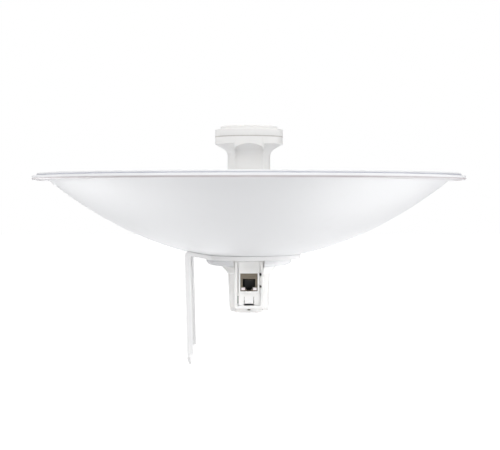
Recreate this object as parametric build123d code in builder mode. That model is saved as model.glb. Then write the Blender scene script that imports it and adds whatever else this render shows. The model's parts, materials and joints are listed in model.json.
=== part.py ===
"""Outdoor wireless bridge: a pressed dish, its pole bracket, and a feed unit with the radio inside.

Frame: the origin is the centre of the aperture rim, +Z is the boresight, the port faces -Y and the
bracket's leg hangs at -X. All sizes are in millimetres.
"""

from build123d import *
import os
from math import cos, radians, sin

os.makedirs("parts", exist_ok=True)

# ---------------------------------------------------------------- driving dimensions
# Gaps
fixed_gap = 0.1          # between two pieces that are fastened together
slide_gap = 0.35         # between the feed unit and what it slides through
pin_gap = 0.05           # radial running clearance
sheet_gap = 0.2          # paint and standoff between the dish and its bracket

# Dish, a pressed sheet with a rolled lip
dish_diameter = 420.0
dish_focal_length = 122.25
dish_sheet = 1.3
hub_hole_gap = 0.75       # round the collar's bore, in the dish and the bracket
lip_width = 16.0         # from the bowl's edge to the lip's edge
lip_rise = 1.9           # from the bowl's edge up to the lip's underside
lip_edge_height = 2.5
lip_edge_round = 0.6
bead_inset = 4.5         # from the lip's edge in to the bead's outer wall
bead_width = 6.5
bead_height = 2.4

# Bracket, folded sheet
bracket_sheet = 2.0
bracket_margin = 8.8     # the plate's disc beyond the collar
bracket_lip_depth = 3.8
arm_reach = 61.2         # from the axis to the leg's outer face
arm_width = 72.0
bend_round = 4.0
leg_sheet = 2.4
leg_flange_depth = 5.0
leg_lean = 1.5           # degrees, the foot of the leg leans towards the axis
leg_flange_drop = 89.0   # from the dish's apex down to the flanges' ends
pivot_drop = 42.0
pivot_hole_radius = 4.4
tilt_slot_radius = 45.0
tilt_slot_sweep = 44.0   # degrees
leg_end_radius = 61.5

# Clamp stack at the dish's hub
clamp_inset = 7.75       # from the collar's bore out to the screw circle
collar_margin = 7.0      # from the screw circle out to the collar's edge
collar_side = 4.6        # the collar's side goes this far below the dish's apex
collar_round = 5.0
notch_gap = 0.6          # between the port frame and the collar's notch
front_ring_margin = 9.0
front_ring_height = 8.0  # above the dish's apex
clamp_screw_radius = 2.0
clamp_screw_count = 4
screw_head_radius = 3.6
screw_head_height = 2.2
insert_radius = 3.0
insert_length = 4.0

# Feed unit, above the dish
feed_neck_radius = 26.9
skirt_margin = 5.1        # the skirt's edge beyond the neck, over the ring's seal
skirt_height = 3.0
tube_radius = 20.9
tube_wall = 2.2
panel_width = 25.2       # flat front and back panels on the tube
panel_border = 1.4
panel_depth = 1.0
arch_drop = 3.4
cup_radius = 33.2
cup_wall = 2.0
cup_band = 7.2
cap_band = 7.4
cap_step_inset = 5.3     # from the cup's side in to the cap's raised disc
cap_step_height = 3.3
flare_rise = 6.8         # from where the flare would leave the tube to the cup's edge
flare_round = 8.3
feed_overreach = 8.4     # the cap's top stands this far beyond the focus

# Rear housing, below the dish
shoulder_drop = 6.8      # where the neck turns into the cone
shoulder_height = 6.4
shoulder_margin = 0.7    # the cone's foot stands out from the shell below it
housing_top_radius = 20.6
housing_draft = 1.4      # the shell narrows by this from its top to its foot
housing_wall = 2.0
end_cap_height = 4.0
end_cap_inset = 0.6
plug_ring_height = 2.6   # the end cap's ring, up inside the housing
plug_ring_wall = 1.6
pry_slot_width = 4.0
pry_slot_height = 1.6

# Port frame and what stands in it
frame_rail = 3.0         # wall each side of the recess
frame_set_in = 0.6       # the frame's front face, inside the shell's top radius
frame_top_drop = 1.2
recess_margin = 1.1      # each side of the insert
frame_recess_depth = 3.2
frame_plate = 2.2
frame_foot = 2.6         # wall below the recess
insert_side = 1.8        # wall each side of the jack
insert_set_in = 0.8      # behind the frame's face
insert_foot_wall = 1.7   # below the jack
jack_width = 16.6
jack_height = 17.2
jack_top_drop = 13.0
jack_set_in = 2.0        # behind the frame's face
plug_opening_width = 12.1
plug_opening_top = 5.2   # below the jack's top
plug_opening_height = 8.1
plug_step_width = 6.8
plug_step_height = 2.0
latch_width = 4.5
latch_height = 1.5
plug_depth = 11.5
contact_count = 8
contact_pitch = 1.02
catch_width = 8.6
catch_length = 6.8
catch_slot = 0.55
catch_foot_slot = 1.9
catch_space = 5.4        # from the jack down to the catch's hinge line
catch_thickness = 1.2
button_hole_radius = 1.7
button_radius = 1.25
button_travel = 0.6
upper_hole_drop = 14.0
lower_hole_drop = 25.9
guide_boss_radius = 2.2
guide_gap = 0.3          # between the jack and the guides beside it

# Electronics
board_side_gap = 1.7     # from the board's edges to the shell's inside at its foot
board_thickness = 1.6
board_foot_rise = 3.0    # above the parting line
board_top_gap = 1.0      # below the cup's edge
solder_gap = 0.1         # between the board and what is soldered on it
can_height = 3.0
can_wall = 0.3
chip_height = 1.1

# ---------------------------------------------------------------- stations worked out from them
skirt_radius = feed_neck_radius + skirt_margin
cap_step_radius = cup_radius - cap_step_inset
shoulder_foot_radius = housing_top_radius + shoulder_margin
housing_foot_radius = housing_top_radius - housing_draft
insert_block_width = jack_width + 2 * insert_side
frame_recess_width = insert_block_width + 2 * recess_margin
frame_width = frame_recess_width + 2 * frame_rail
frame_face = housing_top_radius - frame_set_in
insert_block_face = frame_face - insert_set_in
jack_face = frame_face - jack_set_in
hole_offset = jack_width / 2 + guide_gap + guide_boss_radius
catch_top_drop = jack_top_drop + jack_height + catch_space
housing_drop = catch_top_drop + catch_length + catch_foot_slot + fixed_gap + frame_foot
board_width = 2 * (housing_foot_radius - housing_wall - board_side_gap)
dish_radius = dish_diameter / 2
bowl_radius = dish_radius - lip_width
bowl_depth = bowl_radius**2 / (4 * dish_focal_length)
rim_height = bowl_depth + lip_rise + lip_edge_height / 2
apex_z = -rim_height
cap_top_z = apex_z + dish_focal_length + feed_overreach
cap_step_z = cap_top_z - cap_step_height
seam_z = cap_step_z - cap_band
cup_edge_z = seam_z - cup_band
ring_top_z = apex_z + front_ring_height
skirt_z = ring_top_z + slide_gap
tube_foot_z = skirt_z + skirt_height
collar_bore_radius = feed_neck_radius + slide_gap
hub_hole_radius = collar_bore_radius + hub_hole_gap
shoulder_z = apex_z - shoulder_drop
cone_foot_z = shoulder_z - shoulder_height
parting_z = apex_z - housing_drop
leg_top_z = apex_z - 3.0
pivot_z = apex_z - pivot_drop
frame_top_z = apex_z - frame_top_drop
recess_foot_z = parting_z + frame_foot
plate_face_y = -(frame_face - frame_recess_depth)
plate_back_y = plate_face_y + frame_plate
jack_top_z = apex_z - jack_top_drop
jack_foot_z = jack_top_z - jack_height
board_top_z = cup_edge_z - board_top_gap
board_foot_z = parting_z + board_foot_rise
catch_axis_z = apex_z - catch_top_drop
catch_axis_y = (plate_face_y + plate_back_y) / 2
clamp_radius = collar_bore_radius + clamp_inset
collar_radius = clamp_radius + collar_margin
front_ring_radius = clamp_radius + front_ring_margin
bracket_disc_radius = collar_radius + bracket_margin
tube_bore = tube_radius - tube_wall
neck_bore = feed_neck_radius - housing_wall


def dish_height(radius):
    """Height of the dish's back surface at a distance from the axis."""
    return apex_z + radius**2 / (4 * dish_focal_length)


def dish_curve(inner, outer, rise):
    """The dish's back curve between two radii, raised: three poles make an exact parabola."""
    middle_height = apex_z + inner * outer / (4 * dish_focal_length)
    return Bezier(
        (inner, dish_height(inner) + rise),
        ((inner + outer) / 2, middle_height + rise),
        (outer, dish_height(outer) + rise),
    )


def dished_band(inner, outer, top, bottom):
    """Section of a sheet that follows the dish's back, between two rises."""
    with BuildSketch(Plane.XZ) as band:
        with BuildLine():
            upper = dish_curve(inner, outer, top)
            lower = dish_curve(inner, outer, bottom)
            Line(upper @ 0, lower @ 0)
            Line(upper @ 1, lower @ 1)
        make_face()
    return band.sketch


def bore_at(points, radius, top_z, depth):
    """Round holes down from a height, at a list of points."""
    with BuildSketch(Plane.XY.offset(top_z)) as holes:
        with Locations(*points):
            Circle(radius)
    extrude(holes.sketch, amount=-depth, mode=Mode.SUBTRACT)


def box_between(low, high, mode=Mode.ADD):
    """A box given by its lowest and highest corners."""
    size = [high[i] - low[i] for i in range(3)]
    with BuildSketch(Plane.XY.offset(low[2])) as base:
        with Locations(((low[0] + high[0]) / 2, (low[1] + high[1]) / 2)):
            Rectangle(size[0], size[1])
    extrude(base.sketch, amount=size[2], mode=mode)


def rod_along_y(x, z, radius, front_y, back_y, mode=Mode.ADD):
    """A round rod, or a hole, along Y."""
    with BuildSketch(Plane.XZ.offset(-back_y)) as section:
        with Locations((x, z)):
            Circle(radius)
    extrude(section.sketch, amount=back_y - front_y, mode=mode)


clamp_points = [
    (clamp_radius * cos(radians(45 + 90 * i)), clamp_radius * sin(radians(45 + 90 * i)))
    for i in range(clamp_screw_count)
]

# ---------------------------------------------------------------- dish
lip_underside_z = dish_height(bowl_radius) + lip_rise
lip_top_z = lip_underside_z + lip_edge_height
bead_top_z = lip_top_z + bead_height
bead_outer = dish_radius - bead_inset
bead_inner = bead_outer - bead_width

with BuildPart() as dish_reflector:
    with BuildSketch(Plane.XZ):
        with BuildLine():
            back = dish_curve(hub_hole_radius, bowl_radius, 0)
            front = dish_curve(hub_hole_radius, bowl_radius, dish_sheet)
            FilletPolyline(
                back @ 1,
                (bowl_radius + 1.2, lip_underside_z - 0.9),
                (dish_radius, lip_underside_z),
                (dish_radius, lip_top_z),
                (bead_outer, lip_top_z),
                (bead_outer, bead_top_z),
                (bead_inner, bead_top_z),
                front @ 1,
                radius=lip_edge_round,
            )
            Line(back @ 0, front @ 0)
        make_face()
    revolve(axis=Axis.Z)
    bore_at(clamp_points, clamp_screw_radius + fixed_gap, ring_top_z, front_ring_height + 10)
dish_reflector.part.label = "dish_reflector"
export_step(dish_reflector.part, "parts/dish_reflector.step")

# ---------------------------------------------------------------- bracket
bracket_top = -sheet_gap
bracket_underside = bracket_top - bracket_sheet
leg_half = arm_width / 2
# The leg stands in a plane that leans: local x is +Y and local y runs up the leg.
leg_plane = Plane(
    origin=(-arm_reach, 0, leg_top_z),
    x_dir=(0, 1, 0),
    z_dir=(cos(radians(leg_lean)), 0, sin(radians(leg_lean))),
)


def along_leg(z):
    """How far up the leg's plane a height is: negative below the leg's top."""
    return (z - leg_top_z) / cos(radians(leg_lean))


leg_pivot = along_leg(pivot_z)
leg_flange_end = along_leg(apex_z - leg_flange_drop)
leg_overrun = 20.0       # the leg is cut from this far above its top, then trimmed under the dish


def bracket_outline(inset):
    """The plate's outline from above: a disc, with an arm that runs a little past the leg."""
    with BuildSketch(Plane.XY.offset(apex_z - 10)) as outline:
        Circle(bracket_disc_radius - inset)
        with Locations((-(arm_reach + leg_sheet) / 2, 0)):
            Rectangle(arm_reach + leg_sheet, arm_width - 2 * inset)
    return outline.sketch


def under_the_dish(reach):
    """Keeps only what is under the bracket plate's top surface."""
    with BuildSketch(Plane.XZ) as region:
        with BuildLine():
            top = dish_curve(0, reach, bracket_top)
            Polyline(top @ 1, (reach, apex_z - 150), (0, apex_z - 150), top @ 0)
        make_face()
    revolve(region.sketch, mode=Mode.INTERSECT)


with BuildPart() as bracket_lip:
    extrude(bracket_outline(0), amount=40)
    extrude(bracket_outline(bracket_sheet), amount=40, mode=Mode.SUBTRACT)
    revolve(dished_band(0, arm_reach + 20, bracket_top, bracket_top - bracket_lip_depth), mode=Mode.INTERSECT)

tilt_slot_path = CenterArc(
    (0, leg_pivot), tilt_slot_radius, -90 - tilt_slot_sweep / 2, tilt_slot_sweep
)

with BuildPart() as bracket_leg:
    # Web with a round end about the pivot
    with BuildSketch(leg_plane):
        with Locations((0, (leg_overrun + leg_flange_end) / 2)):
            Rectangle(arm_width, leg_overrun - leg_flange_end)
        with Locations((0, leg_pivot)):
            Circle(leg_end_radius)
        with Locations((0, (leg_overrun + leg_pivot - leg_end_radius) / 2)):
            Rectangle(arm_width, leg_overrun - leg_pivot + leg_end_radius, mode=Mode.INTERSECT)
    extrude(amount=leg_sheet)
    # Flanges turned in along both sides
    with BuildSketch(leg_plane):
        for side in (-1, 1):
            with Locations((side * (leg_half - leg_sheet / 2), (leg_overrun + leg_flange_end) / 2)):
                Rectangle(leg_sheet, leg_overrun - leg_flange_end)
    extrude(amount=leg_flange_depth)
    under_the_dish(arm_reach + 30)
    # Pivot hole, and the curved slot that sets the elevation
    with BuildSketch(leg_plane):
        with Locations((0, leg_pivot)):
            Circle(pivot_hole_radius)
        SlotArc(tilt_slot_path, 2 * pivot_hole_radius)
    extrude(amount=leg_sheet + 1, mode=Mode.SUBTRACT)

with BuildPart() as mounting_bracket:
    revolve(dished_band(hub_hole_radius, arm_reach + 20, bracket_top, bracket_underside))
    extrude(bracket_outline(0), amount=40, mode=Mode.INTERSECT)
    add(bracket_lip.part)
    add(bracket_leg.part)
    bore_at(clamp_points, clamp_screw_radius + fixed_gap, ring_top_z, front_ring_height + 10)
    split(bisect_by=leg_plane, keep=Keep.TOP)
    bend = mounting_bracket.edges().filter_by(
        lambda e: e.center().X < -arm_reach + 1.5 and e.center().Z > apex_z + 5 and e.length > arm_width / 2
    )
    fillet(bend.sort_by(Axis.Z)[-1], radius=bend_round)
mounting_bracket.part.label = "mounting_bracket"
export_step(mounting_bracket.part, "parts/mounting_bracket.step")

# ---------------------------------------------------------------- clamp stack at the hub
collar_top = bracket_underside - fixed_gap
notch_half = frame_width / 2 + notch_gap
insert_top_z = dish_height(clamp_radius - insert_radius) + collar_top - fixed_gap

with BuildPart() as rear_collar:
    with BuildSketch(Plane.XZ):
        with BuildLine():
            top = dish_curve(collar_bore_radius, collar_radius, collar_top)
            under = FilletPolyline(
                top @ 1,
                (collar_radius, apex_z - collar_side),
                (collar_bore_radius, shoulder_z),
                radius=collar_round,
            )
            Line(under @ 1, top @ 0)
        make_face()
    revolve(axis=Axis.Z)
    box_between(
        (-notch_half, -collar_radius - 1, shoulder_z - 1),
        (notch_half, -frame_face + 1, ring_top_z),
        mode=Mode.SUBTRACT,
    )
    bore_at(clamp_points, insert_radius + fixed_gap, ring_top_z, ring_top_z - insert_top_z + insert_length)
rear_collar.part.label = "rear_collar"
export_step(rear_collar.part, "parts/rear_collar.step")

with BuildPart() as collar_inserts:
    with BuildSketch(Plane.XY.offset(insert_top_z)):
        with Locations(*clamp_points):
            Circle(insert_radius)
            Circle(clamp_screw_radius, mode=Mode.SUBTRACT)
    extrude(amount=-insert_length + fixed_gap)
collar_inserts.part.label = "collar_inserts"
export_step(collar_inserts.part, "parts/collar_inserts.step")

seal_width = 1.6
seal_depth = 1.1
seal_inner = collar_bore_radius + 1.0

with BuildPart() as front_ring:
    with BuildSketch(Plane.XZ):
        with BuildLine():
            foot = dish_curve(collar_bore_radius, front_ring_radius, dish_sheet + fixed_gap)
            edge = FilletPolyline(
                foot @ 1,
                (front_ring_radius, ring_top_z),
                (collar_bore_radius, ring_top_z),
                radius=1.0,
            )
            Line(edge @ 1, foot @ 0)
        make_face()
    revolve(axis=Axis.Z)
    bore_at(clamp_points, clamp_screw_radius + fixed_gap, ring_top_z, front_ring_height)
    bore_at(clamp_points, screw_head_radius + fixed_gap, ring_top_z, screw_head_height + fixed_gap)
    with BuildSketch(Plane.XY.offset(ring_top_z)):
        Circle(seal_inner + seal_width)
        Circle(seal_inner, mode=Mode.SUBTRACT)
    extrude(amount=-seal_depth, mode=Mode.SUBTRACT)
front_ring.part.label = "front_ring"
export_step(front_ring.part, "parts/front_ring.step")

with BuildPart() as ring_seal:
    with BuildSketch(Plane.XY.offset(ring_top_z)):
        Circle(seal_inner + seal_width - fixed_gap)
        Circle(seal_inner + fixed_gap, mode=Mode.SUBTRACT)
    extrude(amount=-seal_depth + fixed_gap)
ring_seal.part.label = "ring_seal"
export_step(ring_seal.part, "parts/ring_seal.step")


def socket_screws(points, head_top_z, head_radius, head_height, shank_radius, foot_z, socket_radius):
    """Screws along Z with a hexagon socket in the head."""
    with BuildSketch(Plane.XY.offset(head_top_z)) as heads:
        with Locations(*points):
            Circle(head_radius)
    with BuildSketch(Plane.XY.offset(head_top_z - head_height)) as shanks:
        with Locations(*points):
            Circle(shank_radius)
    with BuildSketch(Plane.XY.offset(head_top_z)) as sockets:
        with Locations(*points):
            RegularPolygon(socket_radius, 6)
    extrude(heads.sketch, amount=-head_height)
    extrude(shanks.sketch, amount=foot_z - head_top_z + head_height)
    extrude(sockets.sketch, amount=-head_height * 0.6, mode=Mode.SUBTRACT)


with BuildPart() as collar_screws:
    socket_screws(
        clamp_points,
        ring_top_z,
        screw_head_radius,
        screw_head_height,
        clamp_screw_radius - pin_gap,
        insert_top_z - insert_length + 3 * fixed_gap,
        screw_head_radius / 2,
    )
collar_screws.part.label = "collar_screws"
export_step(collar_screws.part, "parts/collar_screws.step")

# ---------------------------------------------------------------- feed tube with its cup
spigot_depth = 8.0
spigot_radius = neck_bore - fixed_gap
spigot_bore = spigot_radius - tube_wall
neck_seal_z = skirt_z - spigot_depth + 1.6
neck_seal_round = 0.7
neck_screw_z = skirt_z - 3.4
neck_screw_radius = 1.2
neck_screw_head_radius = 2.4
neck_screw_head_height = 1.1
flare_z = cup_edge_z - flare_rise
guide_rib_depth = 1.5
panel_half = panel_width / 2
border_half = panel_half + panel_border


with BuildPart() as panel_block:
    # The strip that frames the flat panels, flaring early so that it meets the cup's side
    with BuildSketch(Plane.YZ.offset(-border_half)):
        with BuildLine():
            front = FilletPolyline(
                (-tube_radius, tube_foot_z - 1),
                (-tube_radius, flare_z - arch_drop),
                (-cup_radius, cup_edge_z - arch_drop),
                (-cup_radius, cup_edge_z + 1),
                radius=(flare_round, 0.2),
            )
            rear = FilletPolyline(
                (tube_radius, tube_foot_z - 1),
                (tube_radius, flare_z - arch_drop),
                (cup_radius, cup_edge_z - arch_drop),
                (cup_radius, cup_edge_z + 1),
                radius=(flare_round, 0.2),
            )
            Line(front @ 0, rear @ 0)
            Line(front @ 1, rear @ 1)
        make_face()
    extrude(amount=2 * border_half)
    with BuildSketch(Plane.XY.offset(tube_foot_z - 2)):
        Circle(cup_radius)
    extrude(amount=cup_edge_z - tube_foot_z + 4, mode=Mode.INTERSECT)

with BuildPart() as front_scoop:
    # The front panel's pocket: an arched outline whose floor follows the flare
    with BuildSketch(Plane.YZ.offset(-panel_half)):
        with BuildLine():
            floor = FilletPolyline(
                (-tube_radius + panel_depth, tube_foot_z + 2),
                (-tube_radius + panel_depth, flare_z),
                (-cup_radius + panel_depth, cup_edge_z),
                radius=flare_round,
            )
            Polyline(floor @ 1, (-cup_radius - 5, cup_edge_z), (-cup_radius - 5, tube_foot_z + 2), floor @ 0)
        make_face()
    extrude(amount=panel_width)
    with BuildSketch(Plane.XZ):
        with BuildLine():
            arch = ThreePointArc(
                (-panel_half, cup_edge_z - arch_drop), (0, cup_edge_z), (panel_half, cup_edge_z - arch_drop)
            )
            Polyline(arch @ 1, (panel_half, tube_foot_z), (-panel_half, tube_foot_z), arch @ 0)
        make_face()
    extrude(amount=cup_radius + 6, mode=Mode.INTERSECT)

with BuildPart() as feed_tube:
    add(panel_block.part)
    with BuildSketch(Plane.XZ):
        with BuildLine():
            side = FilletPolyline(
                (tube_radius, tube_foot_z),
                (tube_radius, flare_z),
                (cup_radius, cup_edge_z),
                (cup_radius, seam_z),
                radius=(flare_round, 0.6),
            )
            Polyline(side @ 1, (0, seam_z), (0, tube_foot_z), side @ 0)
        make_face()
    revolve(axis=Axis.Z)
    add(front_scoop.part, mode=Mode.SUBTRACT)
    add(front_scoop.part.mirror(Plane.XZ), mode=Mode.SUBTRACT)
    # Skirt over the front ring, and the spigot that goes down into the neck
    with BuildSketch(Plane.XY.offset(skirt_z)):
        Circle(skirt_radius)
    extrude(amount=skirt_height)
    fillet(feed_tube.edges().filter_by(GeomType.CIRCLE).filter_by(
        lambda e: abs(e.radius - skirt_radius) < 0.01 and e.center().Z > tube_foot_z - 0.1), radius=1.2)
    with BuildSketch(Plane.XY.offset(skirt_z)):
        Circle(spigot_radius)
    extrude(amount=-spigot_depth)
    # Bore, widening under the cup
    with BuildSketch(Plane.XZ):
        with BuildLine():
            side = FilletPolyline(
                (tube_bore, tube_foot_z),
                (tube_bore, flare_z + tube_wall / 2),
                (cup_radius - cup_wall, cup_edge_z + cup_wall),
                (cup_radius - cup_wall, seam_z),
                radius=(flare_round, 0.6),
            )
            Polyline(
                side @ 1,
                (0, seam_z),
                (0, skirt_z - spigot_depth),
                (spigot_bore, skirt_z - spigot_depth),
                (spigot_bore, skirt_z),
                side @ 0,
            )
        make_face()
    revolve(axis=Axis.Z, mode=Mode.SUBTRACT)
    # Groove for the neck seal
    with BuildSketch(Plane.XY.offset(neck_seal_z - neck_seal_round - fixed_gap)):
        Circle(spigot_radius + 1)
        Circle(neck_bore - 2 * neck_seal_round - fixed_gap, mode=Mode.SUBTRACT)
    extrude(amount=2 * (neck_seal_round + fixed_gap), mode=Mode.SUBTRACT)
    # Holes for the two neck screws
    with BuildSketch(Plane.YZ.offset(-spigot_radius - 1)):
        with Locations((0, neck_screw_z)):
            Circle(neck_screw_radius + pin_gap)
    extrude(amount=2 * spigot_radius + 2, mode=Mode.SUBTRACT)
    # Ribs that hold the main board's edges
    for side in (-1, 1):
        for low_y in (-guide_rib_depth - solder_gap, board_thickness + solder_gap):
            outer = tube_bore + tube_wall / 2
            inner = board_width / 2 - 0.8
            low_x = min(side * inner, side * outer)
            high_x = max(side * inner, side * outer)
            box_between(
                (low_x, low_y, tube_foot_z + 1),
                (high_x, low_y + guide_rib_depth, flare_z - 4),
            )
feed_tube.part.label = "feed_tube"
export_step(feed_tube.part, "parts/feed_tube.step")

with BuildPart() as neck_seal:
    with BuildSketch(Plane.XZ):
        with Locations((neck_bore - neck_seal_round - pin_gap, neck_seal_z)):
            Circle(neck_seal_round)
    revolve(axis=Axis.Z)
neck_seal.part.label = "neck_seal"
export_step(neck_seal.part, "parts/neck_seal.step")

# ---------------------------------------------------------------- feed cap and the antenna under it
cap_lip_depth = 4.2
cap_lip_wall = 2.2
cap_lip_radius = cup_radius - cup_wall - fixed_gap
cap_seal_round = 0.6
cap_seal_z = seam_z - 2.4
cap_wall = 1.8
cap_bottom_z = seam_z + fixed_gap

with BuildPart() as feed_cap:
    with BuildSketch(Plane.XZ):
        with BuildLine():
            outside = FilletPolyline(
                (cup_radius, cap_bottom_z),
                (cup_radius, cap_step_z),
                (cap_step_radius, cap_step_z),
                (cap_step_radius, cap_top_z),
                (0, cap_top_z),
                radius=(1.0, 0.3, 1.5),
            )
            Polyline(
                outside @ 1,
                (0, cap_top_z - cap_wall),
                (cap_step_radius - cap_wall, cap_top_z - cap_wall),
                (cap_step_radius - cap_wall, cap_step_z - cap_wall),
                (cap_lip_radius - cap_lip_wall, cap_step_z - cap_wall),
                (cap_lip_radius - cap_lip_wall, seam_z - cap_lip_depth),
                (cap_lip_radius, seam_z - cap_lip_depth),
                (cap_lip_radius, cap_bottom_z),
                outside @ 0,
            )
        make_face()
    revolve(axis=Axis.Z)
    with BuildSketch(Plane.XZ):
        with Locations((cap_lip_radius, cap_seal_z)):
            Rectangle(2 * (2 * cap_seal_round + fixed_gap), 2 * (cap_seal_round + fixed_gap))
    revolve(axis=Axis.Z, mode=Mode.SUBTRACT)
feed_cap.part.label = "feed_cap"
export_step(feed_cap.part, "parts/feed_cap.step")

with BuildPart() as cap_seal:
    with BuildSketch(Plane.XZ):
        with Locations((cup_radius - cup_wall - cap_seal_round - pin_gap, cap_seal_z)):
            Circle(cap_seal_round)
    revolve(axis=Axis.Z)
cap_seal.part.label = "cap_seal"
export_step(cap_seal.part, "parts/cap_seal.step")

sub_reflector_sheet = 0.8
dimple_radius = 6.0
dimple_floor_radius = 1.5
dimple_depth = 1.2
sub_reflector_radius = cap_step_radius - cap_wall - 0.6
sub_reflector_top_z = cap_top_z - cap_wall - fixed_gap
radiator_radius = 20.0
radiator_thickness = 0.8
radiator_z = cup_edge_z + 4.0
spacer_radius = 1.6
spacer_circle_radius = 15.0
spacer_points = [
    (spacer_circle_radius * cos(radians(90 + 120 * i)), spacer_circle_radius * sin(radians(90 + 120 * i)))
    for i in range(3)
]
pin_radius = 0.5
pin_spread = 4.0

with BuildPart() as sub_reflector:
    with BuildSketch(Plane.XZ):
        with BuildLine():
            Polyline(
                (0, sub_reflector_top_z - dimple_depth),
                (dimple_floor_radius, sub_reflector_top_z - dimple_depth),
                (dimple_radius, sub_reflector_top_z),
                (sub_reflector_radius, sub_reflector_top_z),
                (sub_reflector_radius, sub_reflector_top_z - sub_reflector_sheet),
                (dimple_radius, sub_reflector_top_z - sub_reflector_sheet),
                (dimple_floor_radius, sub_reflector_top_z - dimple_depth - sub_reflector_sheet),
                (0, sub_reflector_top_z - dimple_depth - sub_reflector_sheet),
                close=True,
            )
        make_face()
    revolve(axis=Axis.Z)
sub_reflector.part.label = "sub_reflector"
export_step(sub_reflector.part, "parts/sub_reflector.step")

with BuildPart() as radiator_board:
    with BuildSketch(Plane.XY.offset(radiator_z)):
        Circle(radiator_radius)
        with Locations((-pin_spread, board_thickness / 2), (pin_spread, board_thickness / 2)):
            Circle(pin_radius + pin_gap, mode=Mode.SUBTRACT)
    extrude(amount=radiator_thickness)
radiator_board.part.label = "radiator_board"
export_step(radiator_board.part, "parts/radiator_board.step")

with BuildPart() as reflector_spacers:
    spacer_foot_z = radiator_z + radiator_thickness + pin_gap
    spacer_top_z = sub_reflector_top_z - sub_reflector_sheet - pin_gap
    with BuildSketch(Plane.XY.offset(spacer_foot_z)):
        with Locations(*spacer_points):
            Circle(spacer_radius)
    extrude(amount=spacer_top_z - spacer_foot_z)
reflector_spacers.part.label = "reflector_spacers"
export_step(reflector_spacers.part, "parts/reflector_spacers.step")

with BuildPart() as feed_pins:
    with BuildSketch(Plane.XY.offset(board_top_z + pin_gap)):
        with Locations((-pin_spread, board_thickness / 2), (pin_spread, board_thickness / 2)):
            Circle(pin_radius)
    extrude(amount=radiator_z + radiator_thickness - board_top_z)
feed_pins.part.label = "feed_pins"
export_step(feed_pins.part, "parts/feed_pins.step")

# ---------------------------------------------------------------- rear housing
neck_top_z = skirt_z - fixed_gap
frame_half = frame_width / 2
frame_back_y = -12.6
boss_radius = 3.0
boss_height = 11.0
cap_screw_radius = 1.1
cap_screw_inset = 4.8     # from the shell's foot in to the end cap's screws
cap_screw_turn = 39.0     # degrees, from the sides towards the back
cap_screw_circle = housing_foot_radius - cap_screw_inset
cap_screw_points = [
    (side * cap_screw_circle * cos(radians(cap_screw_turn)), cap_screw_circle * sin(radians(cap_screw_turn)))
    for side in (-1, 1)
]

with BuildPart() as housing_ribs:
    # Ribs that hold the main board's edges, trimmed inside the tapering wall
    for low_y in (-guide_rib_depth - solder_gap, board_thickness + solder_gap):
        box_between(
            (-housing_top_radius, low_y, parting_z + plug_ring_height + 0.4),
            (housing_top_radius, low_y + guide_rib_depth, cone_foot_z - 2),
        )
    box_between(
        (-board_width / 2 + 0.8, -housing_top_radius, parting_z),
        (board_width / 2 - 0.8, housing_top_radius, cone_foot_z),
        mode=Mode.SUBTRACT,
    )
    with BuildSketch(Plane.XZ):
        with BuildLine():
            Polyline(
                (0, parting_z),
                (housing_foot_radius - housing_wall / 2, parting_z),
                (housing_top_radius - housing_wall / 2, cone_foot_z),
                (0, cone_foot_z),
                close=True,
            )
        make_face()
    revolve(axis=Axis.Z, mode=Mode.INTERSECT)

with BuildPart() as rear_housing:
    with BuildSketch(Plane.XZ):
        with BuildLine():
            Polyline(
                (feed_neck_radius, neck_top_z),
                (feed_neck_radius, shoulder_z),
                (shoulder_foot_radius, cone_foot_z),
                (housing_top_radius, cone_foot_z - 0.6),
                (housing_foot_radius, parting_z),
                (housing_foot_radius - housing_wall, parting_z),
                (housing_top_radius - housing_wall, cone_foot_z),
                (neck_bore, shoulder_z + 1.0),
                (neck_bore, neck_top_z),
                close=True,
            )
        make_face()
    revolve(axis=Axis.Z)
    # Bosses for the end cap's screws, kept inside the shell
    with BuildSketch(Plane.XY.offset(parting_z)):
        with Locations(*cap_screw_points):
            Circle(boss_radius)
        Circle(housing_foot_radius - housing_wall / 2, mode=Mode.INTERSECT)
    extrude(amount=boss_height)
    bore_at(cap_screw_points, cap_screw_radius + pin_gap, parting_z + boss_height - 2, boss_height)
    add(housing_ribs.part)
    # The opening that the port frame fills
    box_between(
        (-frame_half - fixed_gap, -feed_neck_radius - 1, parting_z - 1),
        (frame_half + fixed_gap, frame_back_y + fixed_gap, frame_top_z + fixed_gap),
        mode=Mode.SUBTRACT,
    )
    # Holes for the two neck screws, with room for their heads
    with BuildSketch(Plane.YZ.offset(-feed_neck_radius - 1)):
        with Locations((0, neck_screw_z)):
            Circle(neck_screw_radius + pin_gap)
    extrude(amount=2 * feed_neck_radius + 2, mode=Mode.SUBTRACT)
    for side in (-1, 1):
        with BuildSketch(Plane.YZ.offset(side * (feed_neck_radius - neck_screw_head_height - 0.3))):
            with Locations((0, neck_screw_z)):
                Circle(neck_screw_head_radius + fixed_gap)
        extrude(amount=side * 4, mode=Mode.SUBTRACT)
rear_housing.part.label = "rear_housing"
export_step(rear_housing.part, "parts/rear_housing.step")

with BuildPart() as neck_screws:
    head_foot = feed_neck_radius - neck_screw_head_height - 0.2
    for side in (-1, 1):
        with BuildSketch(Plane.YZ.offset(side * head_foot)):
            with Locations((0, neck_screw_z)):
                Circle(neck_screw_head_radius)
        extrude(amount=side * neck_screw_head_height * 0.7)
        with BuildSketch(Plane.YZ.offset(side * (spigot_bore + 0.4))):
            with Locations((0, neck_screw_z)):
                Circle(neck_screw_radius)
        extrude(amount=side * (head_foot - spigot_bore - 0.4))
neck_screws.part.label = "neck_screws"
export_step(neck_screws.part, "parts/neck_screws.step")

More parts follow.
